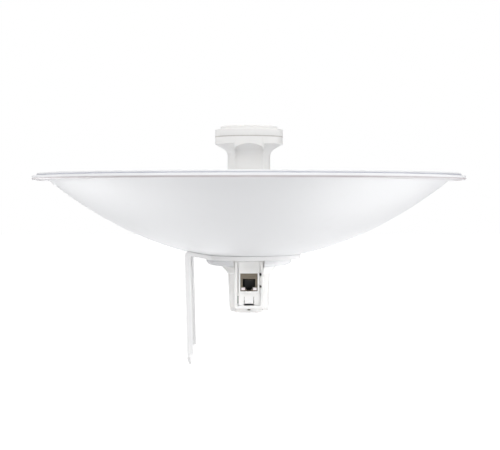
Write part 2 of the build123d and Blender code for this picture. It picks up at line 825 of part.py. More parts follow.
# ---------------------------------------------------------------- end cap
cap_plan_radius = housing_foot_radius - end_cap_inset
cap_front_half = frame_half - end_cap_inset
cap_front_y = -(frame_face - end_cap_inset)
end_cap_top_z = parting_z - fixed_gap
end_cap_foot_z = end_cap_top_z - end_cap_height
cap_screw_head_radius = 2.2
cap_screw_head_height = 1.4

with BuildPart() as end_cap:
    with BuildSketch(Plane.XY.offset(end_cap_foot_z)):
        Circle(cap_plan_radius)
        with Locations((0, cap_front_y / 2)):
            Rectangle(2 * cap_front_half, -cap_front_y)
        Circle(frame_face + 1.0, mode=Mode.INTERSECT)
    extrude(amount=end_cap_height)
    fillet(end_cap.faces().sort_by(Axis.Z)[0].edges(), radius=1.2)
    # Ring that plugs into the housing, open at the front for the port frame
    with BuildSketch(Plane.XY.offset(end_cap_top_z)):
        Circle(housing_foot_radius - housing_wall - fixed_gap)
        Circle(housing_foot_radius - housing_wall - plug_ring_wall, mode=Mode.SUBTRACT)
        with Locations(*cap_screw_points):
            Circle(boss_radius + 0.4, mode=Mode.SUBTRACT)
        with Locations((0, -20)):
            Rectangle(60, 2 * (20 + frame_back_y + 1), mode=Mode.SUBTRACT)
    extrude(amount=plug_ring_height)
    bore_at(cap_screw_points, cap_screw_radius + fixed_gap, end_cap_top_z, end_cap_height)
    bore_at(
        cap_screw_points,
        cap_screw_head_radius + fixed_gap,
        end_cap_foot_z + cap_screw_head_height,
        cap_screw_head_height,
    )
    box_between(
        (-pry_slot_width / 2, cap_front_y - 1, end_cap_top_z - 0.3 - pry_slot_height),
        (pry_slot_width / 2, cap_front_y + 2, end_cap_top_z - 0.3),
        mode=Mode.SUBTRACT,
    )
end_cap.part.label = "end_cap"
export_step(end_cap.part, "parts/end_cap.step")

with BuildPart() as end_cap_screws:
    head_foot_z = end_cap_foot_z + 0.1
    with BuildSketch(Plane.XY.offset(head_foot_z)):
        with Locations(*cap_screw_points):
            Circle(cap_screw_head_radius)
    extrude(amount=cap_screw_head_height - 0.2)
    with BuildSketch(Plane.XY.offset(head_foot_z + cap_screw_head_height - 0.2)):
        with Locations(*cap_screw_points):
            Circle(cap_screw_radius)
    extrude(amount=end_cap_height + 4)
    with BuildSketch(Plane.XY.offset(head_foot_z)):
        with Locations(*cap_screw_points):
            RegularPolygon(1.1, 6)
    extrude(amount=0.8, mode=Mode.SUBTRACT)
end_cap_screws.part.label = "end_cap_screws"
export_step(end_cap_screws.part, "parts/end_cap_screws.step")

# ---------------------------------------------------------------- port frame
recess_half = frame_recess_width / 2
recess_top_z = frame_top_z - 0.8
block_half = insert_block_width / 2
block_top_z = recess_top_z - fixed_gap
block_foot_z = jack_foot_z - insert_foot_wall
block_back_y = plate_face_y - fixed_gap
hole_drops = (upper_hole_drop, lower_hole_drop)
guide_boss_end_y = -8.4
catch_half = catch_width / 2
catch_foot_z = catch_axis_z - catch_length
catch_round = catch_thickness / 2
rail_slot_width = 1.0
rail_slot_top_z = catch_axis_z + 0.7
rail_slot_foot_z = recess_foot_z + 1.1

with BuildPart() as port_frame:
    box_between((-frame_half, -frame_face, parting_z), (frame_half, frame_back_y, frame_top_z))
    fillet(port_frame.edges().filter_by(Axis.Z).group_by(Axis.Y)[0], radius=0.8)
    # Recess in the face, and the space behind the plate
    box_between(
        (-recess_half, -frame_face - 1, recess_foot_z),
        (recess_half, plate_face_y, recess_top_z),
        mode=Mode.SUBTRACT,
    )
    box_between(
        (-frame_half + 1.6, plate_back_y, parting_z + 1.6),
        (frame_half - 1.6, frame_back_y + 1, frame_top_z - 1.6),
        mode=Mode.SUBTRACT,
    )
    # Window for the jack
    box_between(
        (-jack_width / 2 - fixed_gap, plate_face_y - 1, jack_foot_z - fixed_gap),
        (jack_width / 2 + fixed_gap, plate_back_y + 1, jack_top_z + fixed_gap),
        mode=Mode.SUBTRACT,
    )
    # Guides behind the rail for the button and the light pipe, and their holes
    for drop in hole_drops:
        rod_along_y(hole_offset, apex_z - drop, guide_boss_radius, plate_back_y, guide_boss_end_y)
        rod_along_y(
            hole_offset, apex_z - drop, button_hole_radius, -frame_face - 1, plate_back_y, mode=Mode.SUBTRACT
        )
        rod_along_y(
            hole_offset,
            apex_z - drop,
            button_radius + pin_gap,
            plate_back_y - 1,
            guide_boss_end_y + 1,
            mode=Mode.SUBTRACT,
        )
    # Opening for the catch, with a round seat along its top
    box_between(
        (-catch_half - catch_slot, plate_face_y - 1, catch_foot_z - catch_foot_slot),
        (catch_half + catch_slot, plate_back_y + 1, catch_axis_z),
        mode=Mode.SUBTRACT,
    )
    with BuildSketch(Plane.YZ.offset(-catch_half - catch_slot)):
        with Locations((catch_axis_y, catch_axis_z)):
            Circle(catch_round + pin_gap)
    extrude(amount=catch_width + 2 * catch_slot, mode=Mode.SUBTRACT)
    # Slot beside the left wall
    box_between(
        (-recess_half, plate_face_y - 1, rail_slot_foot_z),
        (-recess_half + rail_slot_width, plate_back_y + 1, rail_slot_top_z),
        mode=Mode.SUBTRACT,
    )
port_frame.part.label = "port_frame"
export_step(port_frame.part, "parts/port_frame.step")

with BuildPart() as port_insert:
    box_between((-block_half, -insert_block_face, block_foot_z), (block_half, block_back_y, block_top_z))
    fillet(port_insert.edges().filter_by(Axis.Z).group_by(Axis.Y)[0], radius=0.5)
    # Panel above the jack, sloping in towards its top
    panel_foot_z = jack_top_z + 1.0
    with BuildSketch(Plane.YZ.offset(-block_half + 1.5)):
        with BuildLine():
            Polyline(
                (-insert_block_face, panel_foot_z),
                (-insert_block_face - 1, panel_foot_z),
                (-insert_block_face - 1, block_top_z - 0.6),
                (-insert_block_face + 1.1, block_top_z - 0.6),
                close=True,
            )
        make_face()
    extrude(amount=insert_block_width - 3.0, mode=Mode.SUBTRACT)
    box_between(
        (-jack_width / 2 - fixed_gap, -insert_block_face - 1, jack_foot_z - fixed_gap),
        (jack_width / 2 + fixed_gap, block_back_y + 1, jack_top_z + fixed_gap),
        mode=Mode.SUBTRACT,
    )
port_insert.part.label = "port_insert"
export_step(port_insert.part, "parts/port_insert.step")

# ---------------------------------------------------------------- cover catch and reset button
with BuildPart() as cover_catch:
    with BuildSketch(Plane.YZ.offset(-catch_half)):
        with Locations((catch_axis_y, catch_axis_z - catch_length / 2)):
            Rectangle(catch_thickness, catch_length)
        with Locations((catch_axis_y, catch_axis_z)):
            Circle(catch_round)
    extrude(amount=catch_width)
    # Finger grip along the free end
    with BuildSketch(Plane.YZ.offset(-catch_half)):
        with Locations((catch_axis_y - catch_round, catch_foot_z + 0.6)):
            Rectangle(0.8, 1.2)
    extrude(amount=catch_width)
cover_catch.part.label = "cover_catch"
export_step(cover_catch.part, "parts/cover_catch.step")

button_face_y = plate_face_y + 1.2
button_end_y = -2.4
button_collar_radius = 1.8
switch_face_y = button_end_y + button_travel + 0.3
upper_hole_z = apex_z - upper_hole_drop
lower_hole_z = apex_z - lower_hole_drop

with BuildPart() as reset_button:
    rod_along_y(hole_offset, upper_hole_z, button_radius, button_face_y, button_end_y)
    rod_along_y(
        hole_offset, upper_hole_z, button_collar_radius, guide_boss_end_y + slide_gap, guide_boss_end_y + 1.2
    )
reset_button.part.label = "reset_button"
export_step(reset_button.part, "parts/reset_button.step")

with BuildPart() as reset_switch:
    box_between(
        (hole_offset - 2.2, switch_face_y, upper_hole_z - 2.2),
        (hole_offset + 2.2, -solder_gap, upper_hole_z + 2.2),
    )
reset_switch.part.label = "reset_switch"
export_step(reset_switch.part, "parts/reset_switch.step")

light_end_y = -1.4

with BuildPart() as light_pipe:
    rod_along_y(hole_offset, lower_hole_z, button_radius, button_face_y, light_end_y)
light_pipe.part.label = "light_pipe"
export_step(light_pipe.part, "parts/light_pipe.step")

with BuildPart() as status_led:
    box_between(
        (hole_offset - 0.9, light_end_y + 0.2, lower_hole_z - 1.1),
        (hole_offset + 0.9, -solder_gap, lower_hole_z + 1.1),
    )
status_led.part.label = "status_led"
export_step(status_led.part, "parts/status_led.step")

# ---------------------------------------------------------------- network jack
shield_wall = 0.4
jack_back_y = -solder_gap
jack_half = jack_width / 2
plug_top_z = jack_top_z - plug_opening_top
plug_foot_z = plug_top_z - plug_opening_height
plug_step_foot_z = plug_foot_z - plug_step_height
latch_foot_z = plug_step_foot_z - latch_height
window_width = 3.6
window_height = 2.6
window_side = 0.8        # from the jack's side to the light window
window_foot_z = jack_foot_z + 0.9
contact_width = 0.4
contact_thickness = 0.3


def plug_outline(margin):
    """Plug opening, stepped down to the latch's notch, with a margin round it."""
    outline = (
        (plug_opening_width, plug_top_z, plug_foot_z),
        (plug_step_width, plug_top_z, plug_step_foot_z),
        (latch_width, plug_top_z, latch_foot_z),
    )
    with BuildSketch(Plane.XZ.offset(jack_face + 1)) as opening:
        for width, top_z, foot_z in outline:
            with Locations((0, (top_z + foot_z) / 2)):
                Rectangle(width + 2 * margin, top_z - foot_z + 2 * margin)
    return opening.sketch


def light_windows(margin, front_y, back_y, mode):
    """The two light windows at the jack's lower corners."""
    for side in (-1, 1):
        middle_x = side * (jack_half - window_side - window_width / 2)
        box_between(
            (middle_x - window_width / 2 - margin, front_y, window_foot_z - margin),
            (middle_x + window_width / 2 + margin, back_y, window_foot_z + window_height + margin),
            mode=mode,
        )


with BuildPart() as jack_shield:
    box_between((-jack_half, -jack_face, jack_foot_z), (jack_half, jack_back_y, jack_top_z))
    box_between(
        (-jack_half + shield_wall, -jack_face + shield_wall, jack_foot_z + shield_wall),
        (jack_half - shield_wall, jack_back_y + 1, jack_top_z - shield_wall),
        mode=Mode.SUBTRACT,
    )
    extrude(plug_outline(0), amount=-3, mode=Mode.SUBTRACT)
    light_windows(fixed_gap, -jack_face - 1, -jack_face + 1, Mode.SUBTRACT)
jack_shield.part.label = "jack_shield"
export_step(jack_shield.part, "parts/jack_shield.step")

body_half = jack_half - shield_wall - fixed_gap
body_face_y = -jack_face + shield_wall + fixed_gap

with BuildPart() as jack_body:
    box_between(
        (-body_half, body_face_y, jack_foot_z + shield_wall + fixed_gap),
        (body_half, jack_back_y, jack_top_z - shield_wall - fixed_gap),
    )
    extrude(plug_outline(fixed_gap), amount=-plug_depth - 1, mode=Mode.SUBTRACT)
    light_windows(fixed_gap, -jack_face, -jack_face + plug_depth, Mode.SUBTRACT)
    # Comb of slots for the contacts along the roof of the opening
    for i in range(contact_count):
        middle_x = (i - (contact_count - 1) / 2) * contact_pitch
        box_between(
            (middle_x - contact_width / 2 - fixed_gap, -jack_face + 2.6, plug_top_z - 0.5),
            (middle_x + contact_width / 2 + fixed_gap, -jack_face + plug_depth, plug_top_z + 1.2),
            mode=Mode.SUBTRACT,
        )
jack_body.part.label = "jack_body"
export_step(jack_body.part, "parts/jack_body.step")

with BuildPart() as jack_contacts:
    # Each contact runs in along the roof and hangs down into the opening
    with BuildSketch(Plane.YZ) as contact_side:
        with BuildLine():
            Polyline(
                (-jack_face + 3.0, plug_top_z + 1.0),
                (-jack_face + 3.0, plug_top_z + 1.0 - contact_thickness),
                (-jack_face + 9.0, plug_top_z - 2.4),
                (-jack_face + 9.6, plug_top_z - 2.2),
                (-jack_face + 3.8, plug_top_z + 1.0),
                close=True,
            )
        make_face()
    for i in range(contact_count):
        middle_x = (i - (contact_count - 1) / 2) * contact_pitch
        extrude(
            contact_side.sketch.moved(Location((middle_x - contact_width / 2, 0, 0))),
            amount=contact_width,
            dir=(1, 0, 0),
        )
jack_contacts.part.label = "jack_contacts"
export_step(jack_contacts.part, "parts/jack_contacts.step")

with BuildPart() as jack_lights:
    light_windows(-pin_gap, -jack_face + 0.1, -jack_face + plug_depth - 1, Mode.ADD)
jack_lights.part.label = "jack_lights"
export_step(jack_lights.part, "parts/jack_lights.step")

# ---------------------------------------------------------------- main board and what is soldered on it
board_half = board_width / 2
board_back_y = board_thickness
locating_heights = (20.0, 60.0, 100.0)
locating_radius = 1.0
locating_inset = 3.0

with BuildPart() as main_board:
    box_between((-board_half, 0, board_foot_z), (board_half, board_back_y, board_top_z))
    # Locating holes
    for height in locating_heights:
        for side in (-1, 1):
            rod_along_y(
                side * (board_half - locating_inset),
                apex_z + height,
                locating_radius,
                -1,
                board_back_y + 1,
                mode=Mode.SUBTRACT,
            )
main_board.part.label = "main_board"
export_step(main_board.part, "parts/main_board.step")


def can(low_x, high_x, low_z, high_z, near_y, far_y):
    """A folded metal can, open towards the board: near_y is its edge at the board."""
    front = min(near_y, far_y)
    back = max(near_y, far_y)
    box_between((low_x, front, low_z), (high_x, back, high_z))
    inner_front = front if near_y < far_y else front + can_wall
    inner_back = back - can_wall if near_y < far_y else back
    box_between(
        (low_x + can_wall, inner_front, low_z + can_wall),
        (high_x - can_wall, inner_back, high_z - can_wall),
        mode=Mode.SUBTRACT,
    )


can_half = 11.0
radio_can_foot = apex_z + 58.0
radio_can_top = apex_z + 92.0
computer_can_foot = apex_z + 14.0
computer_can_top = apex_z + 46.0
chip_back_y = board_back_y + solder_gap

with BuildPart() as radio_can:
    can(-can_half, can_half, radio_can_foot, radio_can_top, chip_back_y, chip_back_y + can_height)
radio_can.part.label = "radio_can"
export_step(radio_can.part, "parts/radio_can.step")

with BuildPart() as computer_can:
    can(-can_half, can_half, computer_can_foot, computer_can_top, -solder_gap, -solder_gap - can_height)
computer_can.part.label = "computer_can"
export_step(computer_can.part, "parts/computer_can.step")


def chip_on_back(middle_z, half):
    """A square chip on the board's back."""
    box_between(
        (-half, chip_back_y, middle_z - half), (half, chip_back_y + chip_height, middle_z + half)
    )


def chip_on_front(middle_z, half_width, half_height):
    """A chip on the board's front."""
    box_between(
        (-half_width, -solder_gap - chip_height, middle_z - half_height),
        (half_width, -solder_gap, middle_z + half_height),
    )


processor_z = computer_can_foot + 9.0
memory_z = computer_can_top - 8.0
processor_half = 6.0

with BuildPart() as radio_chip:
    chip_on_back((radio_can_foot + radio_can_top) / 2, 4.5)
radio_chip.part.label = "radio_chip"
export_step(radio_chip.part, "parts/radio_chip.step")

with BuildPart() as processor_chip:
    chip_on_front(processor_z, processor_half, processor_half)
processor_chip.part.label = "processor_chip"
export_step(processor_chip.part, "parts/processor_chip.step")

with BuildPart() as memory_chip:
    chip_on_front(memory_z, 4.0, 5.5)
memory_chip.part.label = "memory_chip"
export_step(memory_chip.part, "parts/memory_chip.step")

with BuildPart() as heat_pad:
    pad_front_y = -solder_gap - can_height + can_wall + pin_gap
    pad_back_y = -solder_gap - chip_height - pin_gap
    box_between(
        (-processor_half, pad_front_y, processor_z - processor_half),
        (processor_half, pad_back_y, processor_z + processor_half),
    )
heat_pad.part.label = "heat_pad"
export_step(heat_pad.part, "parts/heat_pad.step")

transformer_half_width = 7.5
transformer_half_height = 7.0
transformer_depth = 5.5
transformer_z = (jack_top_z + jack_foot_z) / 2 - 1.4
inductor_half = 4.5
inductor_depth = 4.2
inductor_z = transformer_z + transformer_half_height + inductor_half + 6.0
capacitor_radius = 3.2
capacitor_spread = 7.0
capacitor_z = board_foot_z + 6.0
capacitor_front_y = -8.0

with BuildPart() as lan_transformer:
    box_between(
        (-transformer_half_width, chip_back_y, transformer_z - transformer_half_height),
        (transformer_half_width, chip_back_y + transformer_depth, transformer_z + transformer_half_height),
    )
lan_transformer.part.label = "lan_transformer"
export_step(lan_transformer.part, "parts/lan_transformer.step")

with BuildPart() as power_inductor:
    box_between(
        (-inductor_half, chip_back_y, inductor_z - inductor_half),
        (inductor_half, chip_back_y + inductor_depth, inductor_z + inductor_half),
    )
    fillet(power_inductor.edges().filter_by(Axis.Y), radius=1.2)
power_inductor.part.label = "power_inductor"
export_step(power_inductor.part, "parts/power_inductor.step")

with BuildPart() as capacitors:
    for side in (-1, 1):
        rod_along_y(side * capacitor_spread, capacitor_z, capacitor_radius, capacitor_front_y, -solder_gap)
capacitors.part.label = "capacitors"
export_step(capacitors.part, "parts/capacitors.step")
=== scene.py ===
"""Looks of an outdoor wireless bridge: painted steel dish, folded pole bracket, moulded feed unit."""

import json
from math import cos, pi, radians, sin

import bmesh
import bpy
from mathutils import Euler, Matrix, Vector


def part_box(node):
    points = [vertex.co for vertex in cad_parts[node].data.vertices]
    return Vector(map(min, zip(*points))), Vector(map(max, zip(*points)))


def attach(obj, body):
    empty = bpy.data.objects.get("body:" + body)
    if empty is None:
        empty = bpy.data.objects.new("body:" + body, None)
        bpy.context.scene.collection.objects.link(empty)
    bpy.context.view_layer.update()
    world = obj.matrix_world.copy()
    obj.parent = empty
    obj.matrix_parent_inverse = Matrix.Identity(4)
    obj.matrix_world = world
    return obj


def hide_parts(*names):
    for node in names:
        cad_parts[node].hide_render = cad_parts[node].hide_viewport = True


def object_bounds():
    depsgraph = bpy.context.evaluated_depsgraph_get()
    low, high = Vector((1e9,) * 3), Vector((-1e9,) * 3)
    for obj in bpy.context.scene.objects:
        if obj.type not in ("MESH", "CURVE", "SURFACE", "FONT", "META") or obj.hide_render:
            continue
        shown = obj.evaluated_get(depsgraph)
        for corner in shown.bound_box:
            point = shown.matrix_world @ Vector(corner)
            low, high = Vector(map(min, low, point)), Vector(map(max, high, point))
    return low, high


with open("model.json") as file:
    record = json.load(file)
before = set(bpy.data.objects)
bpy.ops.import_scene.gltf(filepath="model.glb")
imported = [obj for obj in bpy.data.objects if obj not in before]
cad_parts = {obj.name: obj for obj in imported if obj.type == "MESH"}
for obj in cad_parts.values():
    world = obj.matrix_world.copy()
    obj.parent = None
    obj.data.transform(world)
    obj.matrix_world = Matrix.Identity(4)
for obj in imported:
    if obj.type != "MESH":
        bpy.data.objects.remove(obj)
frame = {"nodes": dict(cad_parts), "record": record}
cad_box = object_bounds()


# ---------------------------------------------------------------- node trees
class Value:
    """A socket that carries a number. Working on it adds the Math node that does the sum."""

    def __init__(self, nodes, socket):
        self.nodes = nodes
        self.socket = socket

    def __add__(self, other):
        return self.nodes.math("ADD", self, other)

    def __radd__(self, other):
        return self.nodes.math("ADD", other, self)

    def __sub__(self, other):
        return self.nodes.math("SUBTRACT", self, other)

    def __rsub__(self, other):
        return self.nodes.math("SUBTRACT", other, self)

    def __mul__(self, other):
        return self.nodes.math("MULTIPLY", self, other)

    def __rmul__(self, other):
        return self.nodes.math("MULTIPLY", other, self)


class Nodes:
    """A node tree under construction."""

    def __init__(self, tree):
        self.tree = tree

    def put(self, node, inputs):
        """Values or links for a node's sockets."""
        for key, value in inputs.items():
            socket = node.inputs[key]
            if isinstance(value, Value):
                self.tree.links.new(value.socket, socket)
            elif isinstance(value, bpy.types.NodeSocket):
                self.tree.links.new(value, socket)
            else:
                socket.default_value = value
        return node

    def node(self, kind, settings=None, inputs=None):
        """One node of that type: its settings first, then the values or links of its sockets."""
        node = self.tree.nodes.new(kind)
        for key, value in (settings or {}).items():
            setattr(node, key, value)
        return self.put(node, inputs or {})

    def math(self, operation, first, second=0.0):
        node = self.node("ShaderNodeMath", {"operation": operation}, {0: first, 1: second})
        return Value(self, node.outputs[0])


# ---------------------------------------------------------------- finishes
class Finish(Nodes):
    """A material under construction."""

    def __init__(self, name):
        self.material = bpy.data.materials.new(name)
        self.material.use_nodes = True
        super().__init__(self.material.node_tree)
        self.tree.nodes.clear()
        self.surface = self.node("ShaderNodeBsdfPrincipled")
        self.node("ShaderNodeOutputMaterial", {}, {"Surface": self.surface.outputs["BSDF"]})

    def place(self, stretch=(1, 1, 1), turn=(0, 0, 0)):
        """Places on the object in metres, turned and stretched for a pattern."""
        coordinates = self.node("ShaderNodeTexCoord")
        mapped = self.node("ShaderNodeMapping", {"vector_type": "POINT"}, {
            "Vector": coordinates.outputs["Object"], "Rotation": turn, "Scale": stretch})
        return mapped.outputs["Vector"]

    def grain(self, scale, detail, rough=0.5, where=None):
        """Noise from 0 to 1 with that many grains a metre."""
        node = self.node("ShaderNodeTexNoise", {"noise_dimensions": "3D"}, {
            "Vector": where or self.place(), "Scale": scale, "Detail": detail, "Roughness": rough})
        return Value(self, node.outputs["Fac"])

    def cells(self, scale):
        """Distance to the nearest of many scattered points, 0 at a point."""
        node = self.node("ShaderNodeTexVoronoi", {"feature": "F1"}, {"Vector": self.place(), "Scale": scale})
        return Value(self, node.outputs["Distance"])

    def spread(self, value, low, high):
        """0 where the value is at low, 1 where it is at high, and an even bend between."""
        node = self.node("ShaderNodeMapRange", {"clamp": True, "interpolation_type": "SMOOTHSTEP"}, {
            "Value": value, "From Min": low, "From Max": high, "To Min": 0.0, "To Max": 1.0})
        return Value(self, node.outputs["Result"])

    def colour(self, share, first, second):
        """Two colours mixed by share."""
        ends = {index: value if isinstance(value, bpy.types.NodeSocket) else (*value, 1.0)
                for index, value in ((6, first), (7, second))}
        mix = self.node("ShaderNodeMix", {"data_type": "RGBA", "blend_type": "MIX"}, {0: share, **ends})
        return mix.outputs[2]

    def axis(self, name):
        """One coordinate of a place on the object, in metres."""
        coordinates = self.node("ShaderNodeTexCoord")
        parts = self.node("ShaderNodeSeparateXYZ", {}, {"Vector": coordinates.outputs["Object"]})
        return Value(self, parts.outputs[name])

    def near_ring(self, radius, height, reach):
        """1 on a circle round the Z axis at that radius and height, fading to 0 at its reach, in metres."""
        x, y, z = self.axis("X"), self.axis("Y"), self.axis("Z")
        out = self.math("SQRT", x * x + y * y) - radius
        up = z - height
        return self.spread(self.math("SQRT", out * out + up * up), reach, reach * 0.25)

    def near_point(self, centre, reach, squash):
        """1 at a point, fading to 0 at its reach, in metres. Squash below 1 makes it wider along X."""
        x = (self.axis("X") - centre[0]) * squash
        y, z = self.axis("Y") - centre[1], self.axis("Z") - centre[2]
        return self.spread(self.math("SQRT", x * x + y * y + z * z), reach, reach * 0.6)

    def bump(self, height, strength, depth, under=None):
        """The normal of a surface raised by height, depth in metres, over another bump or none."""
        inputs = {"Height": height, "Strength": strength, "Distance": depth}
        if under is not None:
            inputs["Normal"] = under
        return self.node("ShaderNodeBump", {}, inputs).outputs["Normal"]

    def done(self, **sockets):
        """The material, with each of the surface's sockets that is named here set or linked."""
        names = {"base": "Base Color", "rough": "Roughness", "metal": "Metallic", "normal": "Normal",
                 "coat": "Coat Weight", "coat_rough": "Coat Roughness", "specular": "Specular IOR Level",
                 "glow": "Emission Color", "glow_strength": "Emission Strength", "ior": "IOR",
                 "under": "Subsurface Weight", "under_radius": "Subsurface Radius",
                 "under_scale": "Subsurface Scale"}
        self.put(self.surface, {names[key]: value for key, value in sockets.items()})
        return self.material


def powder_coat(name, pale, shade, peel=0.16, shaded_creases=()):
    """Baked powder coat on steel: orange peel, faint blotches, settled dust, and painted shade and painted
    dark reflection along the creases given.

    A shaded crease is (radius, height, reach, colour, share) in metres.
    """
    f = Finish(name)
    clouds = f.grain(9.0, 4.0, 0.55)
    dust_and_shade = f.spread(f.grain(60.0, 5.0, 0.65), 0.55, 0.78)
    specks = f.spread(f.cells(330.0), 0.045, 0.02)
    scuffs = f.spread(f.grain(26.0, 6.0, 0.7, f.place((1.0, 1.0, 7.0), (0.3, 0.2, 0.4))), 0.66, 0.74)
    base = f.colour(clouds, pale, shade)
    base = f.colour(dust_and_shade * 0.10, base, (0.72, 0.70, 0.68))
    base = f.colour(specks * 0.25, base, (0.55, 0.54, 0.53))
    base = f.colour(scuffs * 0.06, base, (0.62, 0.61, 0.60))
    # Each shaded crease darkens the paint along a ring: painted shade and painted dark reflection.
    for radius, height, reach, shade_colour, share in shaded_creases:
        shade_mask = f.near_ring(radius, height, reach) * (0.75 + f.grain(45.0, 3.0, 0.6) * 0.5)
        base = f.colour(shade_mask * share, base, shade_colour)
    orange_peel = f.grain(820.0, 2.0, 0.45)
    ripple = f.grain(36.0, 1.5, 0.4)
    low = f.bump(ripple, 0.10, 0.0012)
    normal = f.bump(orange_peel, peel, 0.00006, low)
    rough = 0.38 + clouds * 0.08 + dust_and_shade * 0.12 + scuffs * 0.10
    return f.done(base=base, rough=rough, normal=normal, specular=0.45)


def moulded(name, pale, shade, texture=0.22, rough_base=0.36, haze=0.10, shaded_seams=(), shaded_hollows=()):
    """Injection moulded plastic: spark-eroded texture, flow clouds, rub marks, and painted shade in the seams
    and hollows given.

    A shaded seam is (radius, height, reach, colour, share), and a shaded hollow is (centre, reach, squash,
    colour, share).
    Sizes are in metres.
    """
    f = Finish(name)
    flow = f.grain(22.0, 3.0, 0.5, f.place((1.0, 1.0, 0.35)))
    rub = f.spread(f.grain(95.0, 5.0, 0.7, f.place((1.0, 1.0, 0.16))), 0.60, 0.75)
    specks = f.spread(f.cells(420.0), 0.05, 0.02)
    base = f.colour(flow, pale, shade)
    base = f.colour(rub * haze, base, (0.70, 0.68, 0.65))
    base = f.colour(specks * 0.18, base, (0.50, 0.48, 0.46))
    # Painted shade darkens the plastic along each shaded seam and inside each shaded hollow.
    for radius, height, reach, dust_and_shade, share in shaded_seams:
        shade_mask = f.near_ring(radius, height, reach) * (0.75 + f.grain(60.0, 3.0, 0.6) * 0.5)
        base = f.colour(shade_mask * share, base, dust_and_shade)
    for centre, reach, squash, dust_and_shade, share in shaded_hollows:
        base = f.colour(f.near_point(centre, reach, squash) * share, base, dust_and_shade)
    spark = f.grain(2600.0, 2.0, 0.6)
    sink = f.grain(70.0, 1.0, 0.4)
    normal = f.bump(spark, texture, 0.00003, f.bump(sink, 0.06, 0.0006))
    rough = rough_base + flow * 0.07 + rub * 0.14
    return f.done(base=base, rough=rough, normal=normal, specular=0.5, under=0.04,
                  under_radius=(0.004, 0.003, 0.0025), under_scale=0.4)


def brushed(name, pale, shade, stretch, rough_base=0.30, metal=1.0, tarnish=(0.30, 0.27, 0.25)):
    """Sheet metal with the streaks of its rolling or brushing, and a little tarnish."""
    f = Finish(name)
    streaks = f.grain(210.0, 5.0, 0.65, f.place(stretch))
    blotch = f.spread(f.grain(130.0, 4.0, 0.6), 0.48, 0.72)
    base = f.colour(streaks, pale, shade)
    base = f.colour(blotch * 0.35, base, tarnish)
    rough = rough_base + streaks * 0.22 + blotch * 0.12
    return f.done(base=base, rough=rough, metal=metal, normal=f.bump(streaks, 0.25, 0.00005))


def rubber(name):
    """Dark seal rubber with a matt bloom and moulding grain."""
    f = Finish(name)
    bloom = f.spread(f.grain(140.0, 4.0, 0.6), 0.45, 0.75)
    base = f.colour(bloom, (0.045, 0.046, 0.050), (0.105, 0.104, 0.104))
    grain = f.grain(1500.0, 3.0, 0.6)
    return f.done(base=base, rough=0.58 + bloom * 0.22, normal=f.bump(grain, 0.30, 0.00005))


def laminate(name):
    """Circuit board: woven glass under a green mask, with copper tracks raised below it."""
    f = Finish(name)
    weave = f.node("ShaderNodeTexWave", {"wave_type": "BANDS", "bands_direction": "X"}, {
        "Vector": f.place(), "Scale": 620.0, "Distortion": 0.6})
    cross = f.node("ShaderNodeTexWave", {"wave_type": "BANDS", "bands_direction": "Z"}, {
        "Vector": f.place(), "Scale": 620.0, "Distortion": 0.6})
    cloth = Value(f, weave.outputs["Fac"]) * Value(f, cross.outputs["Fac"])
    rows = f.spread(f.math("FRACT", f.axis("Z") * 420.0), 0.42, 0.50)
    tracks = rows * f.spread(f.grain(160.0, 0.0), 0.50, 0.53)
    base = f.colour(cloth, (0.012, 0.085, 0.045), (0.018, 0.120, 0.062))
    base = f.colour(tracks * 0.75, base, (0.035, 0.200, 0.095))
    height = cloth * 0.3 + tracks
    return f.done(base=base, rough=0.30 + cloth * 0.12, normal=f.bump(height, 0.35, 0.00005), coat=0.25,
                  coat_rough=0.15)


def resin(name):
    """Black moulding compound of a chip, with a fine matt grain."""
    f = Finish(name)
    grain = f.grain(2400.0, 3.0, 0.6)
    smear = f.spread(f.grain(240.0, 3.0, 0.6), 0.5, 0.75)
    base = f.colour(smear, (0.020, 0.020, 0.022), (0.048, 0.047, 0.048))
    return f.done(base=base, rough=0.42 + grain * 0.2, normal=f.bump(grain, 0.35, 0.00003))


def dark_plastic(name):
    """Glass-filled black plastic of a socket body."""
    f = Finish(name)
    grain = f.grain(1700.0, 4.0, 0.65)
    flow = f.grain(160.0, 3.0, 0.5)
    base = f.colour(flow, (0.0075, 0.0075, 0.0085), (0.020, 0.019, 0.021))
    return f.done(base=base, rough=0.36 + grain * 0.22, normal=f.bump(grain, 0.25, 0.00003), specular=0.4)


def gold(name):
    """Gold plate over phosphor bronze, worn through where a plug wipes it."""
    f = Finish(name)
    wiped = f.spread(f.grain(900.0, 4.0, 0.6, f.place((3.0, 0.6, 0.6))), 0.52, 0.70)
    base = f.colour(wiped, (0.92, 0.62, 0.24), (0.70, 0.42, 0.26))
    return f.done(base=base, rough=0.20 + wiped * 0.18, metal=1.0, normal=f.bump(wiped, 0.15, 0.00002))


def light_plastic(name, pale, shade):
    """Milky light guide, a little hazy inside."""
    f = Finish(name)
    haze = f.grain(420.0, 3.0, 0.5)
    base = f.colour(haze, pale, shade)
    return f.done(base=base, rough=0.16 + haze * 0.14, normal=f.bump(haze, 0.08, 0.00005), ior=1.49, coat=0.3,
                  under=0.25, under_radius=(0.003, 0.002, 0.002), under_scale=0.5)


def soft_pad(name):
    """Thermal pad, a dull filled silicone."""
    f = Finish(name)
    filler = f.grain(1100.0, 5.0, 0.7)
    base = f.colour(filler, (0.30, 0.34, 0.40), (0.40, 0.44, 0.50))
    return f.done(base=base, rough=0.62 + filler * 0.2, normal=f.bump(filler, 0.4, 0.00006))


# Sizes of the pressed dish, in metres, as its section is drawn
four_focal = 0.489
sheet = 0.0013
hub_clearance = 0.0031
lip_width = 0.016
shoulder_rise = 0.0019
lip_thickness = 0.0025
hem_drop = 0.0016
bead_setback = 0.0045
bead_width = 0.0065

